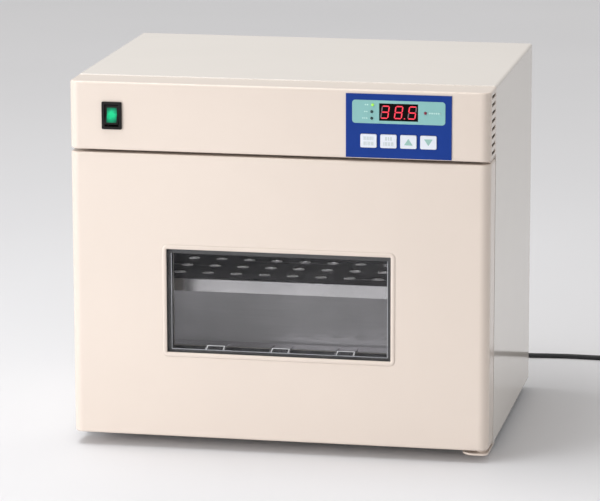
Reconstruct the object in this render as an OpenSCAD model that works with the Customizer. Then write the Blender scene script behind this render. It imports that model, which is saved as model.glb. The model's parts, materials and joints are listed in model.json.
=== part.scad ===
// Bench-top laboratory incubator with a hinged window door and a control fascia above it.
// X runs to the right as seen from the front, Y to the rear, Z up. The origin is on the
// surface that the feet stand on, at the middle of the body's outline.
// Places are given as X, depth behind the flat front plane, and height above the body's base.

/* [Body] */
// Width of the cabinet, the door and the fascia
body_w = 460; // [450:5:470]
// Depth from the front plane to the back panel
body_d = 340; // [335:1:345]
// Height of the body, without its feet
body_h = 394.5; // [390:0.5:396]
// Height of the rubber feet
foot_h = 12; // [9:1:16]
// Thickness of the painted sheet steel
sheet_t = 1.5; // [1.2:0.1:1.6]
// Bend radius along the top edges of the cabinet
top_bend_r = 3; // [2:0.5:5]

/* [Front] */
// Depth of the fascia in front of the cabinet
front_d = 43; // [42:1:44]
// Radius of the vertical front corners of fascia and door
corner_r = 10.5; // [8:0.5:12]
// Bend radius of the fascia's and the door's other front edges
fold_r = 2.5; // [2:0.5:3]
// Height of the control fascia
fascia_h = 74.5; // [73.5:0.1:76]
// Drop from the cabinet's top to the fascia's
fascia_drop = 0.8; // [0.5:0.1:1.2]
// Gap between the fascia and the top of the door
front_gap = 3; // [2.4:0.1:3.4]
// Gap between the back of the door and the cabinet
rear_gap = 4; // [3:0.1:5]
// Clearance under the door
door_lift = 2; // [1.5:0.1:2.5]

/* [Window] */
// Clear width of the window
window_w = 247; // [240:0.5:252]
// Clear height of the window
window_h = 115; // [110:0.5:120]
// Height of the window's centre above the base
window_z = 154.6; // [150:0.1:158]
// Visible width of the window frame
window_rim = 5; // [4.5:0.5:6]

/* [Chamber] */
// Width inside the chamber
chamber_w = 400; // [396:1:400]
// Height of the chamber's floor above the base
chamber_z = 22; // [21:0.5:23]
// Height inside the chamber
chamber_h = 268; // [266:1:270]
// Depth of the chamber's rear wall behind the front plane
chamber_rear = 310; // [305:1:310]
// Thickness of the chamber lining
liner_t = 1; // [0.8:0.1:1.2]

/* [Shelf] */
// Height of the shelf's top above the base
shelf_z = 166.3; // [160:0.1:172]
// Depth of the shelf's front edge behind the front plane
shelf_front = 60; // [58:1:62]
// Height of the shelf's front lip
shelf_lip = 14; // [10:1:15]
// Diameter of the holes in the shelf and the floor plate
hole_d = 13; // [8:0.5:16]
// Spacing of the holes across the width
hole_pitch_x = 31.9; // [30:0.1:32]
// Spacing of the holes front to back
hole_pitch_y = 36.2; // [34:0.1:36.5]
// Height of the floor plate's top above the base
floor_plate_z = 36; // [34:1:40]

/* [Controls] */
// Width of the control overlay
overlay_w = 114; // [112:1:116]
// Height of the control overlay
overlay_h = 69; // [68:0.5:70]
// Centre of the overlay to the right of the middle
overlay_x = 131.6; // [120:0.1:135]
// Centre of the rocker switch to the left of the middle
rocker_x = -182; // [-186:1:-150]
// Key width
key_w = 17.5; // [16:0.5:18]
// Key height
key_h = 14.5; // [13:0.5:15]
// Key travel
key_travel = 0.6; // [0.3:0.1:0.7]

/* [Hinge] */
// Radius of the hinge pins
hinge_pin_r = 3; // [2.5:0.1:3.5]
// Running clearance between a pin and its bush
hinge_clear = 0.05; // [0.03:0.01:0.08]
// Distance of the hinge axis from the door's side
hinge_side = 9; // [8:0.5:9]
// Distance of the hinge axis from the door's back
hinge_back = 22; // [21:0.5:23]

/* [Cord] */
// Diameter of the mains cord
cord_d = 5.5; // [5:0.1:6.5]
// Mean diameter of the stored coil
coil_mean_d = 62; // [58:1:66]

/* [Hidden] */
$fn = 64;

slack = 0.1;             // assembly clearance between fixed sheet parts
cut = 1;                 // how far a cutter runs past the face it opens
front_proud = 3.7;       // the rocker's raised end stands this far out of the front plane
rear_proud = 10;         // the gland and the fuse holder stand this far out of the back panel
front_y = (front_proud - rear_proud - body_d) / 2;

half_w = body_w / 2;
inner_w = half_w - sheet_t;
fascia_z = body_h - fascia_drop - fascia_h;
door_d = front_d - rear_gap;
door_top = fascia_z - front_gap;
door_h = door_top - door_lift;
frame_back = front_d + sheet_t;
panel_front = body_d - sheet_t;
rear_return_d = panel_front - sheet_t;
edge_r = 1.2;
chamber_top = chamber_z + chamber_h;
half_chamber = chamber_w / 2;
liner_flange = 8;
liner_out = half_chamber + liner_t;
insulation_front = frame_back + liner_t + 0.2;
insulation_back = rear_return_d - slack;
tray_z = chamber_top + 35;
base_flange_h = 12;

rim_crown = 0.9;
window_hole_w = window_w + 5;
window_hole_h = window_h + 5;
pane_outer_t = 4;
pane_inner_t = 3;
panel_d = door_d - 2 * sheet_t;          // front face of the door's inner panel
pane_inner_d = panel_d - pane_inner_t;
lip_t = 2;               // lip at the front of the window's surround
lip_side = 4;
lip_low = 2.5;
lip_high = 5.5;
clip_xs = [-72, 0, 72];
clip_w = 22;
clip_wall_h = 4;
clip_t = 0.8;
gasket_w = 12;

hinge_x = half_w - hinge_side;
hinge_d = door_d - hinge_back;
bush_r = 5;
bush_len = 12;
lug_t = 1.4;
lower_lug_t = 2.2;
lower_lug_z = -4.5;
lug_left = 21;
lug_right = 8;
lug_front_d = 6;
lug_back_d = 60;
washer_t = 0.9;

hole_columns = 11;
hole_rows = 6;
first_row_d = 92.3;
hole_shift = -2;
shelf_back = chamber_rear - 5;
plate_t = 1.2;
runner_w = 12;
rail_t = 3;
shelf_w = chamber_w - 2 * rail_t - 1;
runner_zs = [90, shelf_z - plate_t, 232];
heater_r = 4;
heater_z = 28;
heater_pitch = 60;
heater_runs = 4;
heater_left = -130;
heater_right = 130;
heater_first_d = 90;
end_bend_r = 12;
heater_end_xs = [-182, -142];
heater_end_d = chamber_rear + 20;
probe_x = 165;
probe_z = 280;
probe_r = 2.5;
thermostat_x = 60;
thermostat_z = 160;

overlay_t = 0.8;
overlay_z = fascia_z + 1.3 + overlay_h / 2;
strip_t = 0.3;
strip_w = 100.2;
strip_h = 25;
strip_z = fascia_z + 51.1;
lens_w = 41.9;
lens_h = 18.7;
key_z = fascia_z + 19.7;
key_pitch = 21.5;
key_xs = [for (i = [0:3]) overlay_x - 32.3 + i * key_pitch];
led_r = 1.4;
led_hole_r = 1.65;
ready_spot = [overlay_x - 28, strip_z + 7.5];
standby_spots = [[overlay_x - 29, strip_z + 0.1], [overlay_x - 29, strip_z - 7]];
alarm_spot = [overlay_x + 28.7, strip_z + 0.1];
led_spots = concat([ready_spot], standby_spots, [alarm_spot]);
board_d = 12;
board_t = 1.6;
tact_t = 3.7;
digit_h = 14.2;
digit_w = 8.7;
digit_slant = 8;
digit_t = 0.15;
segment_w = 1.25;
digit_pitch = 14.6;
point_r = 0.65;
// Centre and turn of each bar: top, upper right, lower right, bottom, lower left,
// upper left, middle
bar_high = (digit_h - segment_w) / 2;
bar_wide = digit_w - segment_w;
bars = [
    [0, bar_high, 0], [bar_wide / 2, bar_high / 2, 90], [bar_wide / 2, -bar_high / 2, 90],
    [0, -bar_high, 0], [-bar_wide / 2, -bar_high / 2, 90], [-bar_wide / 2, bar_high / 2, 90],
    [0, 0, 0]
];
// Bars that are lit in each of the three figures: 3, 8 and 5
lit_bars = [[0, 1, 2, 3, 6], [0, 1, 2, 3, 4, 5, 6], [0, 2, 3, 5, 6]];

rocker_z = fascia_z + 37.9;
rocker_r = 11.6;
rocker_w = 15;
rocker_tilt = 10;
rocker_axis_d = 3.5;
rocker_face_d = -0.2;
vent_count = 8;
vent_pitch = 8.68;
vent_first_z = 7;
vent_slot_h = 3.6;
vent_front_d = 11.5;
vent_back_d = 37.2;

foot_r = 15;
foot_x = 185;
foot_ds = [82, body_d - 40];

inlet_x = 150;
inlet_z = 350;
cord_r = cord_d / 2;
relief_len = 35;
coil_r = coil_mean_d / 2;
coil_half = 1.5 * cord_d + 0.25;
coil_h = 2 * cord_d;
tie_t = 1;
coil_centre = [366, 108.5];
// Route of the cord: X, distance behind the back panel, height above the surface it lies on
cord_route = [
    [150, 45, 362], [150, 58, 361], [150, 72, 356], [150, 84, 346], [150, 91, 330],
    [150, 94, 310], [150, 94, 285], [150, 93, 255], [150, 92, 225], [150, 92, 195],
    [150, 93, 165], [150, 95, 135], [151, 98, 105], [153, 103, 78], [156, 110, 52],
    [161, 119, 30], [169, 128, 15], [181, 136, 7], [197, 140, 3.6], [216, 142, 2.9],
    [232, 144, 2.8], [250, 145.6, 2.8], [268, 146, 2.8], [291, 145.4, 2.8], [310, 145, 2.9],
    [326, 145, 3.1], [339, 145, 3.5]
];
// Tail of the cord, from the coil to the plug
tail_route = [[399.5, 82, 10.75], [399.5, 72, 10.8], [399.5, 62, 10.9], [399.5, 52, 11]];
rings_per_span = 2;
tube_sides = 10;
plug_at = [399.5, 52, 11];
plug_boot_len = 18;
plug_len = 32;

// Box from depth d0 to d1, between two heights above the base
module block(x0, x1, d0, d1, z0, z1)
    translate([x0, front_y + d0, foot_h + z0])
        cube([x1 - x0, d1 - d0, z1 - z0]);

// The same box on both sides of the middle, with x0 and x1 as distances from it
module block_pair(x0, x1, d0, d1, z0, z1) {
    block(x0, x1, d0, d1, z0, z1);
    block(-x1, -x0, d0, d1, z0, z1);
}

// Round bar along the depth
module bar(x, z, d0, d1, r)
    translate([x, front_y + d0, foot_h + z])
        rotate([-90, 0, 0]) cylinder(r = r, h = d1 - d0);

// Upright round bar
module post(x, d, z0, z1, r)
    translate([x, front_y + d, foot_h + z0]) cylinder(r = r, h = z1 - z0);

// Rectangle with round corners, about its centre
module rounded(w, h, r) {
    square([w - 2 * r, h], center = true);
    square([w, h - 2 * r], center = true);
    for (sx = [-1, 1], sy = [-1, 1])
        translate([sx * (w / 2 - r), sy * (h / 2 - r)]) circle(r = r);
}

// Upright plate with round corners, its centre at (x, z)
module face_plate(x, z, w, h, r, d0, d1)
    translate([x, front_y + d1, foot_h + z])
        rotate([90, 0, 0]) linear_extrude(d1 - d0) rounded(w, h, r);

// Outline swept round an upright rounded rectangle. In the outline, x points out of the
// rectangle and y to the front; its origin runs along the rectangle at depth d.
module ring_sweep(x, z, w, h, r, d) {
    translate([x, front_y + d, foot_h + z]) rotate([90, 0, 0]) {
        for (side = [0:3]) {
            reach = side % 2 == 0 ? w / 2 : h / 2;
            run = side % 2 == 0 ? h - 2 * r : w - 2 * r;
            rotate([0, 0, 90 * side]) translate([reach, 0, 0])
                rotate([90, 0, 0]) linear_extrude(run, center = true) children();
        }
        for (corner = [0:3]) {
            sx = (corner == 0 || corner == 3) ? 1 : -1;
            sy = corner < 2 ? 1 : -1;
            translate([sx * (w / 2 - r), sy * (h / 2 - r), 0]) rotate([0, 0, 90 * corner])
                rotate_extrude(angle = 90) translate([r, 0]) children();
        }
    }
}

// Cross-section of a folded sheet wall of height h: x is 0 at its outer face, and its top
// and bottom flanges reach in as far as the corner's centre
module wall_outline(h) {
    inner_r = fold_r - sheet_t;
    difference() {
        intersection() {
            translate([-corner_r, 0]) square([corner_r, h]);
            translate([-corner_r, h / 2]) rounded(2 * corner_r, h, fold_r);
        }
        translate([-corner_r - sheet_t, h / 2])
            rounded(2 * corner_r, h - 2 * sheet_t, inner_r);
    }
}

// Open-backed tray of folded sheet, d deep, standing on height z
module folded_tray(z, h, d) {
    translate([0, front_y, foot_h + z]) {
        rotate([90, 0, -90])
            linear_extrude(body_w - 2 * corner_r, center = true) wall_outline(h);
        for (side = [-1, 1]) {
            translate([side * (half_w - corner_r), corner_r, 0])
                rotate([0, 0, side > 0 ? -90 : 180])
                    rotate_extrude(angle = 90) translate([corner_r, 0]) wall_outline(h);
            translate([side * half_w, side > 0 ? d : corner_r, 0])
                rotate([90, 0, side > 0 ? 0 : 180])
                    linear_extrude(d - corner_r) wall_outline(h);
        }
    }
    flange_w = half_w - corner_r;
    block(-flange_w, flange_w, corner_r, d, z, z + sheet_t);
    block(-flange_w, flange_w, corner_r, d, z + h - sheet_t, z + h);
}

module outer_cabinet() {
    color("antiquewhite") {
        difference() {
            translate([0, front_y + body_d, foot_h]) rotate([90, 0, 0])
                linear_extrude(body_d - front_d) difference() {
                    cabinet_outline(half_w, body_h, top_bend_r);
                    cabinet_outline(inner_w, body_h - sheet_t, top_bend_r - sheet_t);
                }
            // Rounds the front edge of the top
            translate([-half_w - cut, front_y + front_d, foot_h + body_h])
                rotate([90, 0, 90]) linear_extrude(body_w + 2 * cut) difference() {
                    translate([-cut, -edge_r]) square(edge_r + cut);
                    translate([edge_r, -edge_r]) circle(r = edge_r);
                }
        }
        // Inward returns that the back panel is screwed to
        block_pair(inner_w - 12, inner_w, rear_return_d, panel_front, 0, body_h - sheet_t - 12);
        block(-inner_w, inner_w, rear_return_d, panel_front, body_h - sheet_t - 12,
              body_h - sheet_t);
    }
}

// Inverted U outline, w to each side and h high, with bent top corners
module cabinet_outline(w, h, r) {
    translate([-w, 0]) square([2 * w, h - r]);
    translate([-w + r, 0]) square([2 * (w - r), h]);
    for (s = [-1, 1]) translate([s * (w - r), h - r]) circle(r = r);
}

module back_panel() {
    color("antiquewhite") difference() {
        block(-inner_w + slack, inner_w - slack, panel_front, body_d, 0,
              body_h - sheet_t - slack);
        bar(inlet_x, inlet_z, panel_front - cut, body_d + cut, 8 + slack);
        bar(-inlet_x, inlet_z, panel_front - cut, body_d + cut, 6 + slack);
        // Rows of slots that let the electronics breathe
        for (column = [-2:2])
            block(column * 40 - 15, column * 40 + 15, panel_front - cut, body_d + cut, 352, 355);
        for (column = [-2:2])
            block(column * 40 - 15, column * 40 + 15, panel_front - cut, body_d + cut, 362, 365);
    }
}

module base_plate() {
    plate_w = inner_w - slack;
    plate_back = rear_return_d - slack;
    color("gainsboro") {
        block(-plate_w, plate_w, frame_back, plate_back, 0, sheet_t);
        block_pair(plate_w - sheet_t, plate_w, frame_back, plate_back, sheet_t, base_flange_h);
    }
}

module front_frame() {
    frame_w = inner_w - slack;
    color("antiquewhite") difference() {
        block(-frame_w, frame_w, front_d, frame_back, 0, body_h - sheet_t - slack);
        block(-half_chamber, half_chamber, front_d - cut, frame_back + cut, chamber_z,
              chamber_top);
        // Wiring passages behind the fascia
        block(60, 200, front_d - cut, frame_back + cut, 340, 372);
        block(-200, -160, front_d - cut, frame_back + cut, 340, 372);
    }
}

module chamber_liner() {
    flange = half_chamber + liner_t + liner_flange;
    color("silver") difference() {
        union() {
            block(-liner_out, liner_out, frame_back, chamber_rear + liner_t,
                  chamber_z - liner_t, chamber_top + liner_t);
            block(-flange, flange, frame_back, frame_back + liner_t,
                  chamber_z - liner_t - liner_flange, chamber_top + liner_t + liner_flange);
        }
        block(-half_chamber, half_chamber, frame_back - cut, chamber_rear, chamber_z,
              chamber_top);
        for (x = heater_end_xs)
            bar(x, heater_z, chamber_rear - cut, chamber_rear + liner_t + cut, heater_r + 0.3);
        bar(probe_x, probe_z, chamber_rear - cut, chamber_rear + liner_t + cut, probe_r + 0.2);
    }
}

module insulation_top()
    color("khaki")
        block(-inner_w + 2, inner_w - 2, insulation_front, insulation_back,
              chamber_top + liner_t + slack, tray_z - slack);

module insulation_sides()
    color("khaki")
        block_pair(liner_out + slack, inner_w - 2, insulation_front, insulation_back,
                   chamber_z, chamber_top + liner_t);

module insulation_rear()
    color("khaki") difference() {
        block(-liner_out, liner_out, chamber_rear + liner_t + slack, insulation_back, chamber_z,
              chamber_top + liner_t);
        for (x = heater_end_xs)
            bar(x, heater_z, chamber_rear, insulation_back + cut, heater_r + 1.5);
        bar(probe_x, probe_z, chamber_rear, insulation_back + cut, 8.5);
        bar(thermostat_x, thermostat_z, chamber_rear, insulation_back + cut, 10);
    }

module insulation_bottom()
    color("khaki")
        block(-inner_w + 2, inner_w - 2, insulation_front, insulation_back, sheet_t + slack,
              chamber_z - liner_t - slack);

// Uprights against each side wall, with three clipped-on runners that a shelf can slide on
module shelf_rails()
    color("silver") for (side = [-1, 1]) {
        for (d = [85, 270])
            rail_block(side, half_chamber - rail_t, half_chamber - slack, d, d + 20, 70, 250);
        for (z = runner_zs)
            rail_block(side, half_chamber - runner_w, half_chamber - rail_t - slack, 62, 302,
                       z - rail_t, z);
    }

module rail_block(side, x0, x1, d0, d1, z0, z1)
    if (side > 0)
        block(x0, x1, d0, d1, z0, z1);
    else
        block(-x1, -x0, d0, d1, z0, z1);

// Grid of round holes through a level plate
module hole_grid(z)
    for (column = [0:hole_columns - 1], row = [0:hole_rows - 1])
        post(hole_shift + (column - (hole_columns - 1) / 2) * hole_pitch_x,
             first_row_d + row * hole_pitch_y, z - 3, z + 3, hole_d / 2);

// Sheet shelf: front lip turned down, rear edge turned up as a stop
module shelf()
    color("dimgray") {
        difference() {
            block(-shelf_w / 2, shelf_w / 2, shelf_front, shelf_back, shelf_z - plate_t, shelf_z);
            hole_grid(shelf_z);
        }
        block(-shelf_w / 2, shelf_w / 2, shelf_front, shelf_front + plate_t,
              shelf_z - shelf_lip, shelf_z - plate_t);
        block(-shelf_w / 2, shelf_w / 2, shelf_back - plate_t, shelf_back, shelf_z,
              shelf_z + 10);
    }

// Perforated plate over the heater, standing on its turned-down edges
module floor_plate()
    color("silver") {
        difference() {
            block(-shelf_w / 2, shelf_w / 2, 50, shelf_back, floor_plate_z - plate_t,
                  floor_plate_z);
            hole_grid(floor_plate_z);
        }
        block(-shelf_w / 2, shelf_w / 2, 50, 50 + plate_t, chamber_z + slack,
              floor_plate_z - plate_t);
        block_pair(shelf_w / 2 - plate_t, shelf_w / 2, 50 + plate_t, shelf_back,
                   chamber_z + slack, floor_plate_z - plate_t);
    }

// Straight piece of heater tube along the width
module heater_run(x0, x1, d)
    translate([x0, front_y + d, foot_h + heater_z]) rotate([0, 90, 0])
        cylinder(r = heater_r, h = x1 - x0);

// Bend of heater tube about (x, d), from one angle over a sweep
module heater_bend(x, d, r, start, sweep)
    translate([x, front_y + d, foot_h + heater_z]) rotate([0, 0, start])
        rotate_extrude(angle = sweep) translate([r, 0]) circle(r = heater_r);

// Sheathed element in four runs, with both ends led out through the rear wall
module heater_element() {
    half = heater_pitch / 2;
    last_d = heater_first_d + (heater_runs - 1) * heater_pitch;
    color("slategray") {
        heater_run(heater_end_xs[0] + end_bend_r, heater_right, heater_first_d);
        for (i = [1:heater_runs - 2])
            heater_run(heater_left, heater_right, heater_first_d + i * heater_pitch);
        heater_run(heater_end_xs[1] + end_bend_r, heater_right, last_d);
        heater_bend(heater_right, heater_first_d + half, half, -90, 180);
        heater_bend(heater_left, heater_first_d + 3 * half, half, 90, 180);
        heater_bend(heater_right, heater_first_d + 5 * half, half, -90, 180);
        heater_bend(heater_end_xs[0] + end_bend_r, heater_first_d + end_bend_r, end_bend_r,
                    180, 90);
        heater_bend(heater_end_xs[1] + end_bend_r, last_d + end_bend_r, end_bend_r, 180, 90);
        bar(heater_end_xs[0], heater_z, heater_first_d + end_bend_r, heater_end_d, heater_r);
        bar(heater_end_xs[1], heater_z, last_d + end_bend_r, heater_end_d, heater_r);
    }
}

module temperature_probe()
    color("silver") {
        bar(probe_x, probe_z, chamber_rear - 60, chamber_rear + 20, probe_r);
        bar(probe_x, probe_z, chamber_rear + liner_t + slack, chamber_rear + 6, 7);
    }

module safety_thermostat()
    color("black") {
        bar(thermostat_x, thermostat_z, chamber_rear + liner_t + slack, chamber_rear + 9, 8.5);
        for (s = [-1, 1])
            block(thermostat_x + s * 4 - 3, thermostat_x + s * 4 + 3, chamber_rear + 9,
                  chamber_rear + 19, thermostat_z - 0.4, thermostat_z + 0.4);
    }

// Tray between the top insulation and the electronics space
module electronics_tray() {
    tray_w = inner_w - slack;
    tray_back = rear_return_d - slack;
    color("gainsboro") {
        block(-tray_w, tray_w, frame_back + slack, tray_back, tray_z, tray_z + sheet_t);
        block_pair(tray_w - sheet_t, tray_w, frame_back + slack, tray_back, tray_z + sheet_t,
                   tray_z + 10);
    }
}

// Laminated core with a wound bobbin through its middle
module transformer() {
    floor_z = tray_z + sheet_t;
    color("darkslategray") difference() {
        block(-110, -52, 150, 175, floor_z, floor_z + 48);
        block(-100, -62, 150 - cut, 175 + cut, floor_z + 10, floor_z + 38);
    }
    color("goldenrod") block(-99, -63, 140, 185, floor_z + 10.5, floor_z + 37.5);
    color("darkslategray") block(-100, -62, 155, 170, floor_z + 10, floor_z + 38);
}

// Solid-state relay on a finned heat sink
module heater_relay() {
    floor_z = tray_z + sheet_t;
    color("silver") {
        block(20, 80, 130, 200, floor_z, floor_z + 4);
        for (i = [0:6]) block(22 + i * 9, 24 + i * 9, 202, 222, floor_z, floor_z + 22);
        block(20, 80, 200, 202, floor_z, floor_z + 22);
    }
    color("dimgray") block(28, 72, 136, 194, floor_z + 4, floor_z + 24);
}

module terminal_block() {
    floor_z = tray_z + sheet_t;
    color("whitesmoke") difference() {
        block(110, 190, 255, 275, floor_z, floor_z + 16);
        for (i = [0:5])
            translate([117 + i * 13.2, front_y + 265, foot_h + floor_z + 6])
                cylinder(r = 3.2, h = 12);
    }
}

module feet()
    color("black") for (x = [-foot_x, foot_x], d = foot_ds)
        translate([x, front_y + d, 0]) rotate_extrude()
            polygon([[0, 4], [4.5, 4], [4.5, 0], [foot_r - 3, 0], [foot_r - 2, 0.6],
                     [foot_r, foot_h - 3], [foot_r, foot_h], [0, foot_h]]);

// Pan-head screws along the edges of the back panel
module cabinet_screws() {
    screw_xs = [-222, 222];
    screw_zs = [20, 135, 250, 365];
    color("silver") {
        for (x = screw_xs, z = screw_zs) pan_screw(x, z);
        for (x = [-110, 0, 110]) pan_screw(x, body_h - 8);
    }
}

module pan_screw(x, z)
    translate([x, front_y + body_d, foot_h + z]) rotate([-90, 0, 0]) difference() {
        rotate_extrude()
            polygon([[0, 0], [3.5, 0], [3.5, 1], [2.8, 1.9], [1.6, 2.3], [0, 2.4]]);
        for (turn = [0, 90]) rotate([0, 0, turn])
            translate([-2, -0.4, 1.4]) cube([4, 0.8, 2]);
    }

module fuse_holder()
    color("black") {
        bar(-inlet_x, inlet_z, body_d - 30, body_d, 6);
        bar(-inlet_x, inlet_z, body_d, body_d + 2.5, 9);
        difference() {
            bar(-inlet_x, inlet_z, body_d + 2.5, body_d + rear_proud, 6.5);
            block(-inlet_x - 4.5, -inlet_x + 4.5, body_d + rear_proud - 1.5,
                  body_d + rear_proud + cut, inlet_z - 0.8, inlet_z + 0.8);
        }
    }

// Hexagonal bar along the depth
module hex_bar(x, z, d0, d1, across)
    translate([x, front_y + d0, foot_h + z]) rotate([-90, 0, 0])
        cylinder(r = across / sqrt(3), h = d1 - d0, $fn = 6);

module cord_gland()
    color("black") difference() {
        union() {
            hex_bar(inlet_x, inlet_z, panel_front - 5, panel_front, 22);
            bar(inlet_x, inlet_z, panel_front - 10, body_d, 8);
            hex_bar(inlet_x, inlet_z, body_d, body_d + 6, 22);
            bar(inlet_x, inlet_z, body_d + 6, body_d + rear_proud, 9);
        }
        bar(inlet_x, inlet_z, panel_front - 10 - cut, body_d + rear_proud - 2, cord_r + 0.2);
    }

// Tapered sleeve that keeps the cord from kinking at the gland
module strain_relief()
    color("black") translate([inlet_x, front_y + body_d + rear_proud, foot_h + inlet_z])
        rotate([-90, 0, 0]) cylinder(r1 = 6.5, r2 = cord_r + 0.9, h = relief_len);

function unit(v) = v / norm(v);
function spline(a, b, c, d, t) =
    0.5 * (2 * b + (c - a) * t + (2 * a - 5 * b + 4 * c - d) * t * t
           + (3 * b - a - 3 * c + d) * t * t * t);
function route_point(route, i) = route[max(0, min(len(route) - 1, i))];
// Points of a smooth curve through the route, with rings_per_span steps to each span
function smooth(route) = concat(
    [for (i = [0:len(route) - 2], k = [0:rings_per_span - 1])
        spline(route_point(route, i - 1), route[i], route[i + 1], route_point(route, i + 2),
               k / rings_per_span)],
    [route[len(route) - 1]]);
function along(path, i) =
    unit(path[min(len(path) - 1, i + 1)] - path[max(0, i - 1)]);
function ring(centre, dir, r) =
    let (side = unit(cross(dir, [1, -1, 1])), up = cross(dir, side))
    [for (k = [0:tube_sides - 1])
        centre + r * (cos(360 * k / tube_sides) * side + sin(360 * k / tube_sides) * up)];

// Round tube along a route given as X, distance behind the back panel, height
module tube(route, r) {
    path = smooth([for (p = route) [p[0], front_y + body_d + p[1], p[2]]]);
    last = len(path) - 1;
    points = [for (i = [0:last]) each ring(path[i], along(path, i), r)];
    sides = [for (i = [0:last - 1], k = [0:tube_sides - 1])
        let (next = (k + 1) % tube_sides)
        [i * tube_sides + k, i * tube_sides + next, (i + 1) * tube_sides + next,
         (i + 1) * tube_sides + k]];
    start_cap = [for (k = [tube_sides - 1:-1:0]) k];
    end_cap = [for (k = [0:tube_sides - 1]) last * tube_sides + k];
    polyhedron(points, concat([start_cap], sides, [end_cap]));
}

module power_cord()
    color("black") {
        tube(cord_route, cord_r);
        tube(tail_route, cord_r);
    }

module cord_coil()
    color("black") translate([coil_centre[0], front_y + body_d + coil_centre[1], tie_t])
        rotate_extrude() translate([coil_r - coil_half, 0]) square([2 * coil_half, coil_h]);

// Flat strap round the coil's section nearest the cabinet
module cord_tie()
    color("dimgray")
        translate([coil_centre[0] - 4, front_y + body_d + coil_centre[1] - coil_r, 0])
            difference() {
                translate([0, -coil_half - 1.2, 0])
                    cube([8, 2 * coil_half + 2.7, coil_h + 2 * tie_t]);
                translate([-cut, -coil_half - 0.2, tie_t])
                    cube([8 + 2 * cut, 2 * coil_half + 0.7, coil_h]);
            }

// Moulded three-pin plug lying flat, its pins towards the front
module plug_body()
    color("black") translate([plug_at[0], front_y + body_d + plug_at[1], plug_at[2]])
        rotate([90, 0, 0]) {
            cylinder(r1 = cord_r + 0.8, r2 = 6.5, h = plug_boot_len);
            translate([0, 0, plug_boot_len]) linear_extrude(plug_len) rounded(27, 22, 6);
        }

module plug_pins()
    color("gold") translate([plug_at[0], front_y + body_d + plug_at[1], plug_at[2]])
        rotate([90, 0, 0]) translate([0, 0, plug_boot_len + plug_len]) {
            for (s = [-1, 1]) translate([s * 6.35 - 0.75, -1, 0]) cube([1.5, 6.4, 17]);
            translate([0, -6.5, 0]) cylinder(r = 2.4, h = 20);
        }

// Folded fascia over the door, with vents in both sides and openings for the controls
module control_fascia() {
    color("antiquewhite") difference() {
        folded_tray(fascia_z, fascia_h, front_d);
        for (i = [0:vent_count - 1])
            vent_slot(fascia_z + vent_first_z + i * vent_pitch);
        block(rocker_x - 9.6, rocker_x + 9.6, -cut, sheet_t + cut, rocker_z - 13.6,
              rocker_z + 13.6);
        block(overlay_x - lens_w / 2 + 1, overlay_x + lens_w / 2 - 1, -cut, sheet_t + cut,
              strip_z - lens_h / 2 + 1, strip_z + lens_h / 2 - 1);
        for (x = key_xs) key_opening(x, -cut, sheet_t + cut);
        for (spot = led_spots) bar(spot[0], spot[1], -cut, sheet_t + cut, led_hole_r);
    }
    // Bosses that carry the control board
    color("antiquewhite") for (x = [-64, 64], z = [6, 68])
        bar(overlay_x + x, fascia_z + z, sheet_t, board_d, 3);
}

// Level slot through both sides of the fascia, with its middle at height z
module vent_slot(z)
    block(-half_w - cut, half_w + cut, vent_front_d, vent_back_d, z - vent_slot_h / 2,
          z + vent_slot_h / 2);

// Opening that a key cap moves in
module key_opening(x, d0, d1)
    face_plate(x, key_z, key_w + 0.6, key_h + 0.6, 1.8, d0, d1);

module control_overlay()
    color("royalblue") difference() {
        block(overlay_x - overlay_w / 2, overlay_x + overlay_w / 2, -overlay_t, 0,
              overlay_z - overlay_h / 2, overlay_z + overlay_h / 2);
        lens_plate(-overlay_t - cut, cut);
        for (x = key_xs) key_opening(x, -overlay_t - cut, cut);
        for (spot = led_spots) bar(spot[0], spot[1], -overlay_t - cut, cut, led_hole_r);
    }

module lens_plate(d0, d1)
    block(overlay_x - lens_w / 2, overlay_x + lens_w / 2, d0, d1, strip_z - lens_h / 2,
          strip_z + lens_h / 2);

module display_strip() {
    front = -overlay_t - strip_t;
    color("mediumaquamarine") difference() {
        face_plate(overlay_x, strip_z, strip_w, strip_h, 3.5, front, -overlay_t);
        lens_plate(front - cut, 0);
        for (spot = led_spots) bar(spot[0], spot[1], front - cut, 0, led_hole_r);
    }
}

module display_window()
    color("black") lens_plate(-overlay_t - strip_t, 0);

// One bar of a seven-segment figure, pointed at both ends, lying along X about its centre
module segment(length)
    polygon([[-length / 2, 0], [-length / 2 + segment_w / 2, segment_w / 2],
             [length / 2 - segment_w / 2, segment_w / 2], [length / 2, 0],
             [length / 2 - segment_w / 2, -segment_w / 2],
             [-length / 2 + segment_w / 2, -segment_w / 2]]);

// Lit bars of the three figures and the point, on the face of the display window
module display_digits() {
    lean = tan(digit_slant);
    color("red") translate([overlay_x, front_y - overlay_t - strip_t, foot_h + strip_z])
        rotate([90, 0, 0]) linear_extrude(digit_t) {
            for (place = [0:2], b = lit_bars[place])
                translate([(place - 1) * digit_pitch + bars[b][0] + bars[b][1] * lean, bars[b][1]])
                    rotate(bars[b][2] == 90 ? 90 - digit_slant : 0)
                        segment((bars[b][2] == 90 ? bar_high : bar_wide) - 0.4);
            translate([digit_pitch / 2 - 1, -bar_high]) circle(r = point_r);
        }
}

module display_module()
    color("dimgray")
        block(overlay_x - 19, overlay_x + 19, slack, board_d, strip_z - lens_h / 2 + 1.5,
              strip_z + lens_h / 2 - 1.5);

// Lamp with a domed tip just proud of the display strip
module lamp(spot) {
    tip = -overlay_t - strip_t;
    bar(spot[0], spot[1], tip, board_d, led_r);
    translate([spot[0], front_y + tip, foot_h + spot[1]]) rotate([90, 0, 0])
        rotate_extrude() intersection() {
            translate([0, -led_r]) circle(r = 2 * led_r * 0.9);
            square([led_r, led_r]);
        }
}

module led_ready() color("greenyellow") lamp(ready_spot);

module led_standby() color("darkolivegreen") for (spot = standby_spots) lamp(spot);

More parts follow.
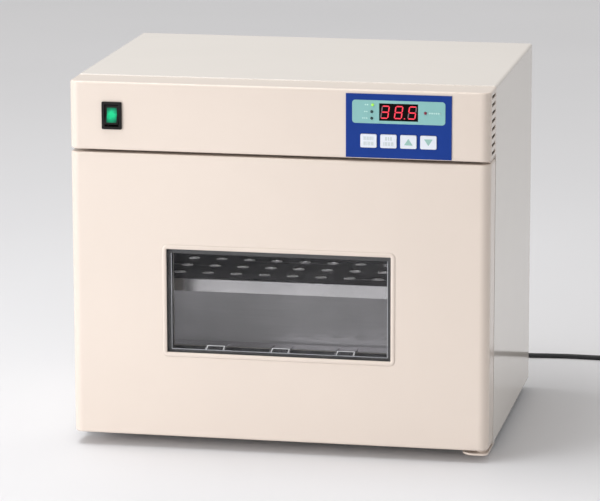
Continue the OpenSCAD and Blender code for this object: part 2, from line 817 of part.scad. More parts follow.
module led_alarm() color("crimson") lamp(alarm_spot);

module control_board()
    color("darkgreen")
        block(overlay_x - 70, overlay_x + 70, board_d, board_d + board_t, fascia_z + 3,
              fascia_z + 72);

module tact_switches()
    color("black") for (x = key_xs)
        block(x - 3, x + 3, board_d - tact_t, board_d, key_z - 3, key_z + 3);

// Key cap with a retaining flange behind the fascia and a stem to its switch
module key_cap(x) {
    proud = 1;
    face_plate(x, key_z, key_w, key_h, 1.5, -overlay_t - proud, sheet_t + slack);
    face_plate(x, key_z, key_w + 3, key_h + 3, 1.5, sheet_t + slack, sheet_t + 1.3);
    bar(x, key_z, sheet_t + 1.3, board_d - tact_t - key_travel - 0.2, 1.75);
}

module key_mode() color("whitesmoke") key_cap(key_xs[0]);

module key_set() color("whitesmoke") key_cap(key_xs[1]);

module key_up() color("whitesmoke") key_cap(key_xs[2]);

module key_down() color("whitesmoke") key_cap(key_xs[3]);

// Snap-in frame of the rocker switch, with a bearing hole in each side
module rocker_bezel()
    color("black") difference() {
        union() {
            face_plate(rocker_x, rocker_z, 22, 30, 1.2, -2, 0);
            block(rocker_x - 9.5, rocker_x + 9.5, 0, 20, rocker_z - 13.5, rocker_z + 13.5);
        }
        block(rocker_x - 7.8, rocker_x + 7.8, -2 - cut, 16, rocker_z - 12, rocker_z + 12);
        translate([rocker_x - 9, front_y + rocker_axis_d, foot_h + rocker_z])
            rotate([0, 90, 0]) cylinder(r = 1.25, h = 18);
    }

// Rocker in its place, tilted with its top pressed in; the outline is in height and depth
module rocker_shape()
    translate([rocker_x, front_y + rocker_axis_d, foot_h + rocker_z])
        rotate([-rocker_tilt, 0, 0]) {
            face = rocker_face_d - rocker_axis_d;
            end_face = face - rocker_r * tan(rocker_tilt);
            rotate([90, 0, 90]) linear_extrude(rocker_w, center = true) intersection() {
                circle(r = rocker_r);
                polygon([[face, 0], [end_face, rocker_r], [4.5, rocker_r], [4.5, -rocker_r],
                         [end_face, -rocker_r]]);
            }
        }

// Space of the lit insert in the rocker's face
module rocker_lens_space()
    block(rocker_x - 5.5, rocker_x + 5.5, -6, 1, rocker_z - 7.5, rocker_z + 8.5);

module rocker_button()
    color("black") {
        difference() {
            rocker_shape();
            rocker_lens_space();
        }
        for (side = [-1, 1])
            translate([rocker_x + side * 8.1, front_y + rocker_axis_d, foot_h + rocker_z])
                rotate([0, 90, 0]) cylinder(r = 1.2, h = 1.6, center = true);
    }

module rocker_lens()
    color("mediumseagreen") intersection() {
        rocker_shape();
        rocker_lens_space();
    }

// Hinge plate under the fascia, with a pin down into the door
module hinge_upper()
    color("antiquewhite") {
        block(hinge_x - lug_left, hinge_x + lug_right, 8, front_d, fascia_z - lug_t, fascia_z);
        post(hinge_x, hinge_d, door_top - bush_len + 1, fascia_z - lug_t, hinge_pin_r);
    }

// Outline of the lower hinge plate, seen from above, about the hinge axis
module lug_outline() {
    left_r = 14;
    right_r = 7;
    back = lug_back_d - hinge_d;
    front = lug_front_d - hinge_d;
    translate([-lug_left, front + left_r]) square([lug_left + lug_right, back - front - left_r]);
    translate([left_r - lug_left, front])
        square([lug_left + lug_right - left_r - right_r, left_r]);
    translate([lug_right - right_r, front + right_r]) square([right_r, left_r]);
    translate([left_r - lug_left, front + left_r]) circle(r = left_r);
    translate([lug_right - right_r, front + right_r]) circle(r = right_r);
}

// Hinge plate under the base, with a packing piece behind and a pin up into the door
module hinge_lower() {
    plate_top = lower_lug_z + lower_lug_t;
    color("antiquewhite") {
        translate([hinge_x, front_y + hinge_d, foot_h + lower_lug_z])
            linear_extrude(lower_lug_t) lug_outline();
        block(hinge_x - lug_left, hinge_x + lug_right, frame_back, lug_back_d, plate_top, 0);
        post(hinge_x, hinge_d, plate_top, door_lift - washer_t - 0.3, bush_r);
        post(hinge_x, hinge_d, plate_top, door_lift + bush_len - 1, hinge_pin_r);
    }
}

// Nylon bushes pressed into the top and the bottom of the door, the lower one with a flange
module hinge_bushes()
    color("white") {
        hinge_bush(door_top - bush_len, door_top);
        hinge_bush(door_lift, door_lift + bush_len);
        difference() {
            post(hinge_x, hinge_d, door_lift - washer_t, door_lift, bush_r + 1.5);
            post(hinge_x, hinge_d, door_lift - washer_t - cut, door_lift + cut,
                 hinge_pin_r + hinge_clear);
        }
    }

module hinge_bush(z0, z1)
    difference() {
        post(hinge_x, hinge_d, z0, z1, bush_r);
        post(hinge_x, hinge_d, z0 - cut, z1 + cut, hinge_pin_r + hinge_clear);
    }

// Folded door tray with a return along its back edges
module door_shell() {
    lip = 6;
    color("antiquewhite") difference() {
        union() {
            folded_tray(door_lift, door_h, door_d);
            difference() {
                block(-inner_w, inner_w, door_d - sheet_t, door_d, door_lift + sheet_t,
                      door_top - sheet_t);
                block(-half_w + lip, half_w - lip, door_d - sheet_t - cut, door_d + cut,
                      door_lift + lip, door_top - lip);
            }
        }
        block(-window_hole_w / 2, window_hole_w / 2, -cut, sheet_t + cut,
              window_z - window_hole_h / 2, window_z + window_hole_h / 2);
        for (z = [door_lift, door_top - sheet_t])
            post(hinge_x, hinge_d, z - cut, z + sheet_t + cut, bush_r);
    }
}

module door_inner_panel()
    color("gainsboro") difference() {
        block(-inner_w + slack, inner_w - slack, panel_d, panel_d + sheet_t,
              door_lift + sheet_t + slack, door_top - sheet_t - slack);
        block(-window_w / 2, window_w / 2, panel_d - cut, panel_d + sheet_t + cut,
              window_z - window_h / 2, window_z + window_h / 2);
    }

module door_insulation() {
    side = half_w - 18;
    color("khaki") difference() {
        block(-side, side, sheet_t + slack, panel_d - slack, door_lift + 4, door_top - 4);
        block(-window_hole_w / 2 - 0.2, window_hole_w / 2 + 0.2, 0, panel_d + cut,
              window_z - window_hole_h / 2 - 0.2, window_z + window_hole_h / 2 + 0.2);
    }
}

// Moulded frame: a crowned rim on the door's face and a collar in its opening
module window_frame() {
    crown_r = (window_rim * window_rim / 4 + rim_crown * rim_crown) / (2 * rim_crown);
    color("antiquewhite") {
        ring_sweep(0, window_z, window_w + 2 * window_rim, window_h + 2 * window_rim, 6, 0)
            intersection() {
                translate([-window_rim, 0]) square([window_rim, rim_crown]);
                translate([-window_rim / 2, rim_crown - crown_r]) circle(r = crown_r);
            }
        difference() {
            block(-window_hole_w / 2, window_hole_w / 2, 0, sheet_t,
                  window_z - window_hole_h / 2, window_z + window_hole_h / 2);
            block(-window_w / 2, window_w / 2, -cut, sheet_t + cut, window_z - window_h / 2,
                  window_z + window_h / 2);
        }
    }
}

module window_pane_outer()
    color("lightblue", 0.3)
        block(-window_hole_w / 2, window_hole_w / 2, sheet_t, sheet_t + pane_outer_t,
              window_z - window_hole_h / 2, window_z + window_hole_h / 2);

module window_pane_inner()
    color("lightblue", 0.3)
        block(-window_hole_w / 2, window_hole_w / 2, pane_inner_d, panel_d,
              window_z - window_hole_h / 2, window_z + window_hole_h / 2);

// Surround between the panes, with a lip that holds the outer one
module window_reveal() {
    front = sheet_t + pane_outer_t;
    low = window_z - window_h / 2;
    high = window_z + window_h / 2;
    color("gray") difference() {
        block(-window_hole_w / 2, window_hole_w / 2, front, pane_inner_d,
              window_z - window_hole_h / 2, window_z + window_hole_h / 2);
        block(-window_w / 2, window_w / 2, front + lip_t, panel_d, low, high);
        block(-window_w / 2 + lip_side, window_w / 2 - lip_side, 0, panel_d, low + lip_low,
              high - lip_high);
    }
}

// Spring clips that keep the two panes apart: a foot on the reveal with turned-up sides
module window_clips() {
    front = sheet_t + pane_outer_t + lip_t + 0.2;
    color("silver") for (x = clip_xs, side = [-1, 1]) {
        edge = window_z + side * window_h / 2;
        foot_z = side < 0 ? edge : edge - clip_t;
        wall_z = side < 0 ? edge + clip_t : edge - clip_t - clip_wall_h;
        block(x - clip_w / 2, x + clip_w / 2, front, pane_inner_d - 1, foot_z, foot_z + clip_t);
        for (end = [-1, 1]) {
            wall_x = x + end * (clip_w - clip_t) / 2;
            block(wall_x - clip_t / 2, wall_x + clip_t / 2, front, pane_inner_d - 1, wall_z,
                  wall_z + clip_wall_h);
        }
    }
}

// Bellows gasket on the inner panel, just clear of the front frame
module door_gasket() {
    rise = front_d - 0.2 - panel_d - sheet_t;
    color("lightgray")
        ring_sweep(0, chamber_z + chamber_h / 2, chamber_w + 4 + 2 * gasket_w,
                   chamber_h + 2 + 2 * gasket_w, gasket_w + 2, panel_d + sheet_t)
            polygon([[-gasket_w, 0], [-gasket_w, -1], [-gasket_w + 1.5, -1.6],
                     [-gasket_w, -2.2], [-gasket_w, -rise], [0, -rise], [0, -2.2],
                     [-1.5, -1.6], [0, -1], [0, 0]]);
}

outer_cabinet();
back_panel();
base_plate();
front_frame();
chamber_liner();
insulation_top();
insulation_sides();
insulation_rear();
insulation_bottom();
shelf_rails();
shelf();
floor_plate();
heater_element();
temperature_probe();
safety_thermostat();
electronics_tray();
transformer();
heater_relay();
terminal_block();
feet();
cabinet_screws();
fuse_holder();
cord_gland();
strain_relief();
power_cord();
cord_coil();
cord_tie();
plug_body();
plug_pins();
control_fascia();
control_overlay();
display_strip();
display_window();
display_digits();
display_module();
led_ready();
led_standby();
led_alarm();
control_board();
tact_switches();
rocker_bezel();
rocker_button();
rocker_lens();
key_mode();
key_set();
key_up();
key_down();
hinge_upper();
hinge_lower();
hinge_bushes();
door_shell();
door_inner_panel();
door_insulation();
window_frame();
window_pane_outer();
window_pane_inner();
window_reveal();
window_clips();
door_gasket();
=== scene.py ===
import json
import math

import bmesh
import bpy
from mathutils import Matrix, Vector


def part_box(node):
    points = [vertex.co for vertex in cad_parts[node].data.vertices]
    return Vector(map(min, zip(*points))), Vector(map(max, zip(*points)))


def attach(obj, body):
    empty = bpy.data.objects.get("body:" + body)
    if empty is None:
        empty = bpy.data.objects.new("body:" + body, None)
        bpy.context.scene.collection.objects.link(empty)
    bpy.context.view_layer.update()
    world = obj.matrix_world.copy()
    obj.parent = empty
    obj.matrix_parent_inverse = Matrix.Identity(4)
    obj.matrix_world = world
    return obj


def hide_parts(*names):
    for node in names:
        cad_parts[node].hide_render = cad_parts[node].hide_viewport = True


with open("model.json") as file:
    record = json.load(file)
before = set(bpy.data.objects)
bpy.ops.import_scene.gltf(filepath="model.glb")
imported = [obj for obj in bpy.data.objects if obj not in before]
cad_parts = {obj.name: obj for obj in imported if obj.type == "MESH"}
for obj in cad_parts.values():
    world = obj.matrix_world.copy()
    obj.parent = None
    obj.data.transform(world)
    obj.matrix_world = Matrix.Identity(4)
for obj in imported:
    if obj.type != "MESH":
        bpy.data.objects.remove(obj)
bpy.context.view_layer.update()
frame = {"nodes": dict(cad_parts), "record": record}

MM = 0.001

# ---------------------------------------------------------------- places

FRONT_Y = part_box("door_shell")[0].y          # the flat front plane
BACK_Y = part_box("back_panel")[1].y           # the outer face of the back panel


def place(x, depth, height):
    """Point from millimetres: X, depth behind the back panel, height above the floor."""
    return Vector((x * MM, BACK_Y + depth * MM, height * MM))


# ---------------------------------------------------------------- camera

def make_camera():
    azimuth, elevation = math.radians(11.0517), math.radians(12.2521)
    roll = math.radians(-0.1334)
    target = Vector((0.024434, FRONT_Y, 0.228119))
    distance = 3.8
    forward = Vector((-math.sin(azimuth) * math.cos(elevation),
                      math.cos(azimuth) * math.cos(elevation), -math.sin(elevation)))
    right = Vector((math.cos(azimuth), math.sin(azimuth), 0))
    up = right.cross(forward)
    right_r = right * math.cos(roll) + up * math.sin(roll)
    up_r = up * math.cos(roll) - right * math.sin(roll)
    data = bpy.data.cameras.new("camera")
    data.sensor_width = 36
    data.lens = 211.856
    data.clip_end = 50
    camera = bpy.data.objects.new("camera", data)
    camera.matrix_world = Matrix.Translation(target - forward * distance) @ Matrix(
        (right_r, up_r, -forward)).transposed().to_4x4()
    bpy.context.scene.collection.objects.link(camera)
    bpy.context.scene.camera = camera


make_camera()

# ---------------------------------------------------------------- cord

CORD_D = 5.5
INLET = (150, 10, 362)                        # where the cord leaves the gland
RELIEF_LEN = 35
COIL_CENTRE = (366, 108.5)
COIL_RADIUS = 31                              # of the middle turn of the lower layer
COIL_TURNS = 4.25
COIL_FLOOR = 3.75                             # centreline height of the coil's lower layer
PLUG_AT = (399.5, 52, 11)

# Route of the cord: X, distance behind the back panel, height, in millimetres
CORD_ROUTE = [
    (150, 10, 362), (150, 20, 362), (150, 32, 362),
    (150, 45, 362), (150, 58, 361), (150, 72, 356), (150, 84, 346), (150, 91, 330),
    (150, 94, 310), (150, 94, 285), (150, 93, 255), (150, 92, 225), (150, 92, 195),
    (150, 93, 165), (150, 95, 135), (151, 98, 105), (153, 103, 78), (156, 110, 52),
    (161, 119, 30), (169, 128, 15), (181, 136, 7), (197, 140, 3.6), (216, 142, 2.9),
    (232, 144, 2.8), (250, 145.6, 2.8), (268, 146, 2.8), (291, 145.4, 2.8), (310, 145, 2.9),
    (326, 145, 3.1), (339, 145, 3.5), (352, 145, 3.75),
]
TAIL_ROUTE = [(399.6, 100, 9.3), (399.5, 91, 10.2), (399.5, 82, 10.75), (399.5, 72, 10.8),
              (399.5, 62, 10.9), (399.5, 52, 11)]


def smooth_route(route, steps=4):
    """Points of a Catmull-Rom curve through the route."""
    def at(i):
        return Vector(route[max(0, min(len(route) - 1, i))])
    points = []
    for i in range(len(route) - 1):
        a, b, c, d = at(i - 1), at(i), at(i + 1), at(i + 2)
        for k in range(steps):
            t = k / steps
            points.append(0.5 * (2 * b + (c - a) * t + (2 * a - 5 * b + 4 * c - d) * t * t
                                 + (3 * b - a - 3 * c + d) * t ** 3))
    points.append(at(len(route) - 1))
    return points


def coil_points():
    """Three turns side by side, then one and a quarter in the grooves above them. Seen
    from above they run clockwise, starting at the rear, and each turn steps inwards or
    outwards over its last part."""
    outer = [COIL_RADIUS + CORD_D, COIL_RADIUS]
    top = [COIL_RADIUS - CORD_D / 2, COIL_RADIUS + CORD_D / 2]
    step_from = 0.80                          # part of a turn after which it steps across
    per_turn = 60

    def ease(t):
        t = min(1, max(0, t))
        return t * t * (3 - 2 * t)

    def lower(turn, s):
        """Radius of the first or second lower turn at step s, from 0 to 1."""
        return outer[turn] - CORD_D * s

    points = []
    for i in range(int(COIL_TURNS * per_turn) + 1):
        turn, part = divmod(i, per_turn)
        part /= per_turn
        s = ease((part - step_from) / (1 - step_from))
        height = 0.0
        if turn < 2:
            radius = lower(turn, s)
        elif turn == 2:
            swing = math.radians(180 - 120 * s)
            radius = lower(1, s) + CORD_D * math.cos(swing)
            height = CORD_D * math.sin(swing)
        else:
            radius = top[0] + (top[1] - top[0]) * s if turn == 3 else top[1]
            for strand in (lower(0, s), lower(1, s)):
                gap = abs(radius - strand)
                if gap < CORD_D:
                    height = max(height, math.sqrt(CORD_D * CORD_D - gap * gap))
        angle = 2 * math.pi * (turn + part)
        points.append(Vector((COIL_CENTRE[0] + radius * math.sin(angle),
                              COIL_CENTRE[1] + radius * math.cos(angle),
                              COIL_FLOOR + height)))
    return points


def circle(count):
    return [2 * math.pi * k / count for k in range(count)]


def link(obj):
    bpy.context.scene.collection.objects.link(obj)
    return obj


def mesh_object(name, verts, faces, smooth=True):
    mesh = bpy.data.meshes.new(name)
    mesh.from_pydata([tuple(v) for v in verts], [], faces)
    mesh.validate()
    bm = bmesh.new()
    bm.from_mesh(mesh)
    bmesh.ops.recalc_face_normals(bm, faces=bm.faces)
    bm.to_mesh(mesh)
    bm.free()
    for polygon in mesh.polygons:
        polygon.use_smooth = smooth
    return link(bpy.data.objects.new(name, mesh))


def loft(name, sections, closed_ends=True):
    """Skin over rings of equal length."""
    count = len(sections[0])
    verts = [v for ring in sections for v in ring]
    faces = [(i * count + k, i * count + (k + 1) % count,
              (i + 1) * count + (k + 1) % count, (i + 1) * count + k)
             for i in range(len(sections) - 1) for k in range(count)]
    if closed_ends:
        faces.append(tuple(range(count)))
        faces.append(tuple(range((len(sections) - 1) * count, len(sections) * count)))
    return mesh_object(name, verts, faces)


def tube(name, path, radius, count=16):
    """Round tube along a path, without twist."""
    sections = []
    side = None
    for i, p in enumerate(path):
        along = (path[min(i + 1, len(path) - 1)] - path[max(i - 1, 0)]).normalized()
        if side is None:
            side = along.orthogonal()
        side = (side - along * side.dot(along)).normalized()
        other = along.cross(side)
        sections.append([p + (side * math.cos(a) + other * math.sin(a)) * radius
                         for a in circle(count)])
    return loft(name, sections)


def relief_profile():
    """Radii along the boot: rings with grooves between them, on a taper."""
    start, end, rings = 6.5, CORD_D / 2 + 0.9, 8
    groove, lead_in = 0.95, 0.25
    pitch = (RELIEF_LEN - 2) / rings

    def taper(along):
        return start + (end - start) * along / RELIEF_LEN

    profile = [(0, CORD_D / 2), (0, start - 0.5), (0.5, start)]
    for i in range(rings):
        at = 1 + i * pitch
        profile += [(at + 0.55 * pitch, taper(at + 0.55 * pitch)),
                    (at + 0.62 * pitch, taper(at) - lead_in),
                    (at + 0.66 * pitch, taper(at) - groove),
                    (at + 0.90 * pitch, taper(at) - groove),
                    (at + 0.94 * pitch, taper(at + pitch) - lead_in),
                    (at + pitch, taper(at + pitch))]
    profile += [(RELIEF_LEN - 0.3, end), (RELIEF_LEN, end - 0.4), (RELIEF_LEN, CORD_D / 2)]
    return profile


def make_relief():
    """Ringed boot that holds the cord where it leaves the gland."""
    x, depth, height = INLET
    return loft("cord_boot", [
        [place(x + radius * math.cos(a), depth + along, height + radius * math.sin(a))
         for a in circle(40)]
        for along, radius in relief_profile()])


def plug_ring(along, width, height, power, dent=0.0, count=56):
    """Section of the plug: a superellipse whose sides are pressed in by dent."""
    ring = []
    for a in circle(count):
        c, s = math.cos(a), math.sin(a)
        x = math.copysign(abs(c) ** (2 / power), c) * width / 2
        z = math.copysign(abs(s) ** (2 / power), s) * height / 2
        x -= math.copysign(dent * abs(c) ** 3, c)
        ring.append(place(PLUG_AT[0] + x, PLUG_AT[1] - along, PLUG_AT[2] + z))
    return ring


def make_plug():
    """Moulded plug: a ringed boot that swells into the body, with finger grips."""
    wide, high, corner, grip = 27, 22, 4.5, 0.9
    rings = [(0, CORD_D, CORD_D, 2), (0, 8.6, 8.6, 2), (0.5, 9.0, 9.0, 2)]
    for i in range(4):
        at, size = 1.2 + i * 3.8, 9.2 + i * 0.95
        rings += [(at + along, size + more, size + more, 2)
                  for along, more in ((2.0, 0), (2.4, -1.6), (3.2, -1.6), (3.6, 0.9))]
    rings += [(18, 14.5, 13.5, 2.3), (20.5, 20, 17.5, 2.8), (23, 24.5, 20.2, 3.4),
              (25, 26.4, 21.4, 4)]
    for i in range(5):
        at = 27 + i * 3.2
        rings += [(at + along, wide, high, corner, dent)
                  for along, dent in ((0, 0), (0.5, grip), (1.6, grip), (2.1, 0))]
    rings += [(44, wide, high, corner), (48.6, wide, high, corner), (49.6, 26.2, 21.2, corner),
              (50, 24.6, 19.6, corner), (50, 8, 7, 3)]
    return loft("mains_plug", [plug_ring(*ring) for ring in rings])


def make_tie():
    """Strap wound once round the coil."""
    half_w, low, high, corner, thick = 8.95, 0.5, 11.9, 3.0, 0.9
    edge, rounding = 4.0, 0.25                # half the strap's width, and its edge's inset
    left, right = -half_w + corner, half_w - corner
    bottom, top = low + corner, high - corner
    loop = []
    for cx, cz, start in ((right, top, 0), (left, top, 90), (left, bottom, 180),
                          (right, bottom, 270)):
        for k in range(7):
            a = math.radians(start + 15 * k)
            loop.append((cx + corner * math.cos(a), cz + corner * math.sin(a),
                         math.cos(a), math.sin(a)))
    centre = COIL_CENTRE[1] - COIL_RADIUS
    sections = []
    for face in (1, -1):
        for across in (-edge, -3.7, 3.7, edge):
            out = face * (thick / 2 - (rounding if abs(across) == edge else 0.0))
            sections.append([place(COIL_CENTRE[0] + face * across, centre + u + n * out,
                                   z + m * out) for u, z, n, m in loop])
    sections.append(sections[0])
    return loft("cord_strap", sections, closed_ends=False)


cord_path = [place(*p) for p in
             smooth_route(CORD_ROUTE)[:-1] + coil_points()[1:] + smooth_route(TAIL_ROUTE)]
cord = tube("mains_cord", cord_path, CORD_D / 2 * MM)
cord_boot = make_relief()
mains_plug = make_plug()
cord_strap = make_tie()
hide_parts("power_cord", "cord_coil")
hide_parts("strain_relief")
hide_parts("plug_body")
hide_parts("cord_tie")
for piece, slot in ((cord, "cord_black"), (cord_boot, "cord_black"),
                    (mains_plug, "plug_black"), (cord_strap, "tie_grey")):
    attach(piece, "cabinet")

# ---------------------------------------------------------------- materials


def material(name):
    mat = bpy.data.materials.new(name)
    mat.use_nodes = True
    return mat, mat.node_tree, mat.node_tree.nodes["Principled BSDF"]


def coords(tree, scale=(1, 1, 1)):
    texco = tree.nodes.new("ShaderNodeTexCoord")
    mapping = tree.nodes.new("ShaderNodeMapping")
    mapping.inputs["Scale"].default_value = scale
    tree.links.new(texco.outputs["Object"], mapping.inputs["Vector"])
    return mapping.outputs["Vector"]


def noise(tree, vector, scale, detail=2.0, roughness=0.5):
    made = tree.nodes.new("ShaderNodeTexNoise")
    made.inputs["Scale"].default_value = scale
    made.inputs["Detail"].default_value = detail
    made.inputs["Roughness"].default_value = roughness
    tree.links.new(vector, made.inputs["Vector"])
    return made.outputs["Fac"]


def ramp(tree, fac, stops):
    made = tree.nodes.new("ShaderNodeValToRGB")
    elements = made.color_ramp.elements
    while len(elements) < len(stops):
        elements.new(0.5)
    for element, (at, color) in zip(elements, stops):
        element.position = at
        element.color = (*color, 1)
    tree.links.new(fac, made.inputs["Fac"])
    return made.outputs["Color"]


def spread(tree, fac, low, high):
    made = tree.nodes.new("ShaderNodeMapRange")
    made.inputs["From Min"].default_value = 0.25
    made.inputs["From Max"].default_value = 0.75
    made.inputs["To Min"].default_value = low
    made.inputs["To Max"].default_value = high
    tree.links.new(fac, made.inputs["Value"])
    return made.outputs["Result"]


def bevel(tree, radius):
    made = tree.nodes.new("ShaderNodeBevel")
    made.samples = 4
    made.inputs["Radius"].default_value = radius
    return made.outputs["Normal"]


def bump(tree, height, strength, distance, normal=None):
    made = tree.nodes.new("ShaderNodeBump")
    made.inputs["Strength"].default_value = strength
    made.inputs["Distance"].default_value = distance
    tree.links.new(height, made.inputs["Height"])
    if normal is not None:
        tree.links.new(normal, made.inputs["Normal"])
    return made.outputs["Normal"]


def mottle(tree, fac, color, vary):
    """Colour that drifts a little darker and lighter."""
    return ramp(tree, fac, [(0.3, shade(color, 1 - vary)), (0.7, shade(color, 1 + vary))])


def product(tree, first, second):
    made = tree.nodes.new("ShaderNodeMath")
    made.operation = "MULTIPLY"
    tree.links.new(first, made.inputs[0])
    tree.links.new(second, made.inputs[1])
    return made.outputs["Value"]


def shade(color, factor):
    return tuple(min(1.0, c * factor) for c in color)


def finish_material(name, color, rough, vary=0.06, cloud=12, grain=900, grain_depth=0.00005,
                    stretch=(1, 1, 1), metallic=0.0, edge=0.0, specular=0.5, emission=None):
    """Surface whose colour and roughness drift over cloud-sized patches, with a fine
    grain in its relief."""
    mat, tree, bsdf = material(name)
    at = coords(tree, stretch)
    drift = noise(tree, at, cloud, 3, 0.55)
    fine = noise(tree, at, grain, 2, 0.6)
    tree.links.new(mottle(tree, drift, color, vary), bsdf.inputs["Base Color"])
    tree.links.new(spread(tree, drift, rough * 0.9, rough * 1.1), bsdf.inputs["Roughness"])
    around = bevel(tree, edge) if edge else None
    tree.links.new(bump(tree, fine, 0.35, grain_depth, around), bsdf.inputs["Normal"])
    bsdf.inputs["Metallic"].default_value = metallic
    bsdf.inputs["Specular IOR Level"].default_value = specular
    if emission:
        bsdf.inputs["Emission Color"].default_value = (*emission[0], 1)
        bsdf.inputs["Emission Strength"].default_value = emission[1]
    return mat


def brushed(name, color, rough, stretch, depth, vary=0.10):
    """Sheet metal with a rolling grain along the axis that stretch leaves low."""
    mat, tree, bsdf = material(name)
    lines = noise(tree, coords(tree, stretch), 1, 3, 0.6)
    at = coords(tree)
    marks = noise(tree, at, 14, 4, 0.6)
    tree.links.new(mottle(tree, lines, color, vary), bsdf.inputs["Base Color"])
    tree.links.new(spread(tree, marks, rough * 0.8, rough * 1.25), bsdf.inputs["Roughness"])
    tree.links.new(bump(tree, lines, 0.4, depth, bevel(tree, 0.0004)), bsdf.inputs["Normal"])
    bsdf.inputs["Metallic"].default_value = 1.0
    return mat


def painted_light_sheet(name, top, painted_highlight):
    """Rolled steel with painted light: the upper face is painted dark, a painted shade for the
    dark chamber it reflects, while the lip and the walls of the holes are painted bright, a
    painted highlight."""
    mat, tree, bsdf = material(name)
    geometry = tree.nodes.new("ShaderNodeNewGeometry")
    split = tree.nodes.new("ShaderNodeSeparateXYZ")
    tree.links.new(geometry.outputs["Normal"], split.inputs["Vector"])
    faces_up = tree.nodes.new("ShaderNodeMath")
    faces_up.operation = "ABSOLUTE"
    tree.links.new(split.outputs["Z"], faces_up.inputs[0])
    marks = noise(tree, coords(tree, (4, 60, 60)), 1, 4, 0.6)
    painted_shade_fac = product(tree, faces_up.outputs["Value"], spread(tree, marks, 0.95, 1.05))
    # Painted light: faces that look up take the top colour, a painted shade; the lip and the hole
    # walls take the bright colour, a painted highlight.
    tree.links.new(ramp(tree, painted_shade_fac, [(0.35, painted_highlight), (0.75, top)]), bsdf.inputs["Base Color"])
    tree.links.new(spread(tree, marks, 0.20, 0.30), bsdf.inputs["Roughness"])
    tree.links.new(bump(tree, marks, 0.3, 0.00001, bevel(tree, 0.0003)), bsdf.inputs["Normal"])
    bsdf.inputs["Metallic"].default_value = 1.0
    return mat


def glass_pane(name):
    """Clear sheet glass: lets light straight through and reflects more towards grazing."""
    mat, tree, bsdf = material(name)
    tree.nodes.remove(bsdf)
    out = tree.nodes["Material Output"]
    clear = tree.nodes.new("ShaderNodeBsdfTransparent")
    gloss = tree.nodes.new("ShaderNodeBsdfGlossy")
    mix = tree.nodes.new("ShaderNodeMixShader")
    fresnel = tree.nodes.new("ShaderNodeFresnel")
    fresnel.inputs["IOR"].default_value = 1.22
    at = coords(tree)
    smear = noise(tree, at, 18, 4, 0.6)
    tree.links.new(ramp(tree, smear, [(0.3, (0.93, 0.93, 0.935)), (0.7, (0.96, 0.96, 0.965))]),
                   clear.inputs["Color"])
    tree.links.new(spread(tree, smear, 0.01, 0.05), gloss.inputs["Roughness"])
    tree.links.new(fresnel.outputs["Fac"], mix.inputs["Fac"])
    tree.links.new(clear.outputs["BSDF"], mix.inputs[1])
    tree.links.new(gloss.outputs["BSDF"], mix.inputs[2])
    tree.links.new(mix.outputs["Shader"], out.inputs["Surface"])
    return mat


def lit_insert(name, node):
    """Clear green insert with a lamp behind its middle, which fades out to the edges."""
    mat, tree, bsdf = material(name)
    low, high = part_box(node)
    held = frame["nodes"][node]
    middle = held.matrix_world.inverted() @ ((low + high) / 2)
    half = (high - low) / 2
    texco = tree.nodes.new("ShaderNodeTexCoord")
    mapping = tree.nodes.new("ShaderNodeMapping")
    mapping.vector_type = "TEXTURE"
    mapping.inputs["Location"].default_value = middle
    mapping.inputs["Scale"].default_value = (half.x * 1.7, 1, half.z * 1.25)
    tree.links.new(texco.outputs["Object"], mapping.inputs["Vector"])
    glow = tree.nodes.new("ShaderNodeTexGradient")
    glow.gradient_type = "SPHERICAL"
    tree.links.new(mapping.outputs["Vector"], glow.inputs["Vector"])
    blotch = noise(tree, coords(tree), 260, 2, 0.5)
    lit = product(tree, glow.outputs["Fac"], spread(tree, blotch, 0.75, 1.25))
    tree.links.new(ramp(tree, lit, [(0.0, (0.004, 0.05, 0.032)), (0.6, (0.01, 0.20, 0.11))]),
                   bsdf.inputs["Base Color"])
    tree.links.new(ramp(tree, lit, [(0.0, (0.0, 0.012, 0.006)), (0.30, (0.001, 0.14, 0.055)),
                                    (0.75, (0.006, 0.55, 0.20))]),
                   bsdf.inputs["Emission Color"])
    bsdf.inputs["Emission Strength"].default_value = 0.9
    bsdf.inputs["Roughness"].default_value = 0.15
    bsdf.inputs["Specular IOR Level"].default_value = 0.2
    tree.links.new(bump(tree, blotch, 0.2, 0.00002, bevel(tree, 0.0004)), bsdf.inputs["Normal"])
    return mat


FRONT = (0.728, 0.634, 0.562)
BODY = (0.740, 0.690, 0.64)

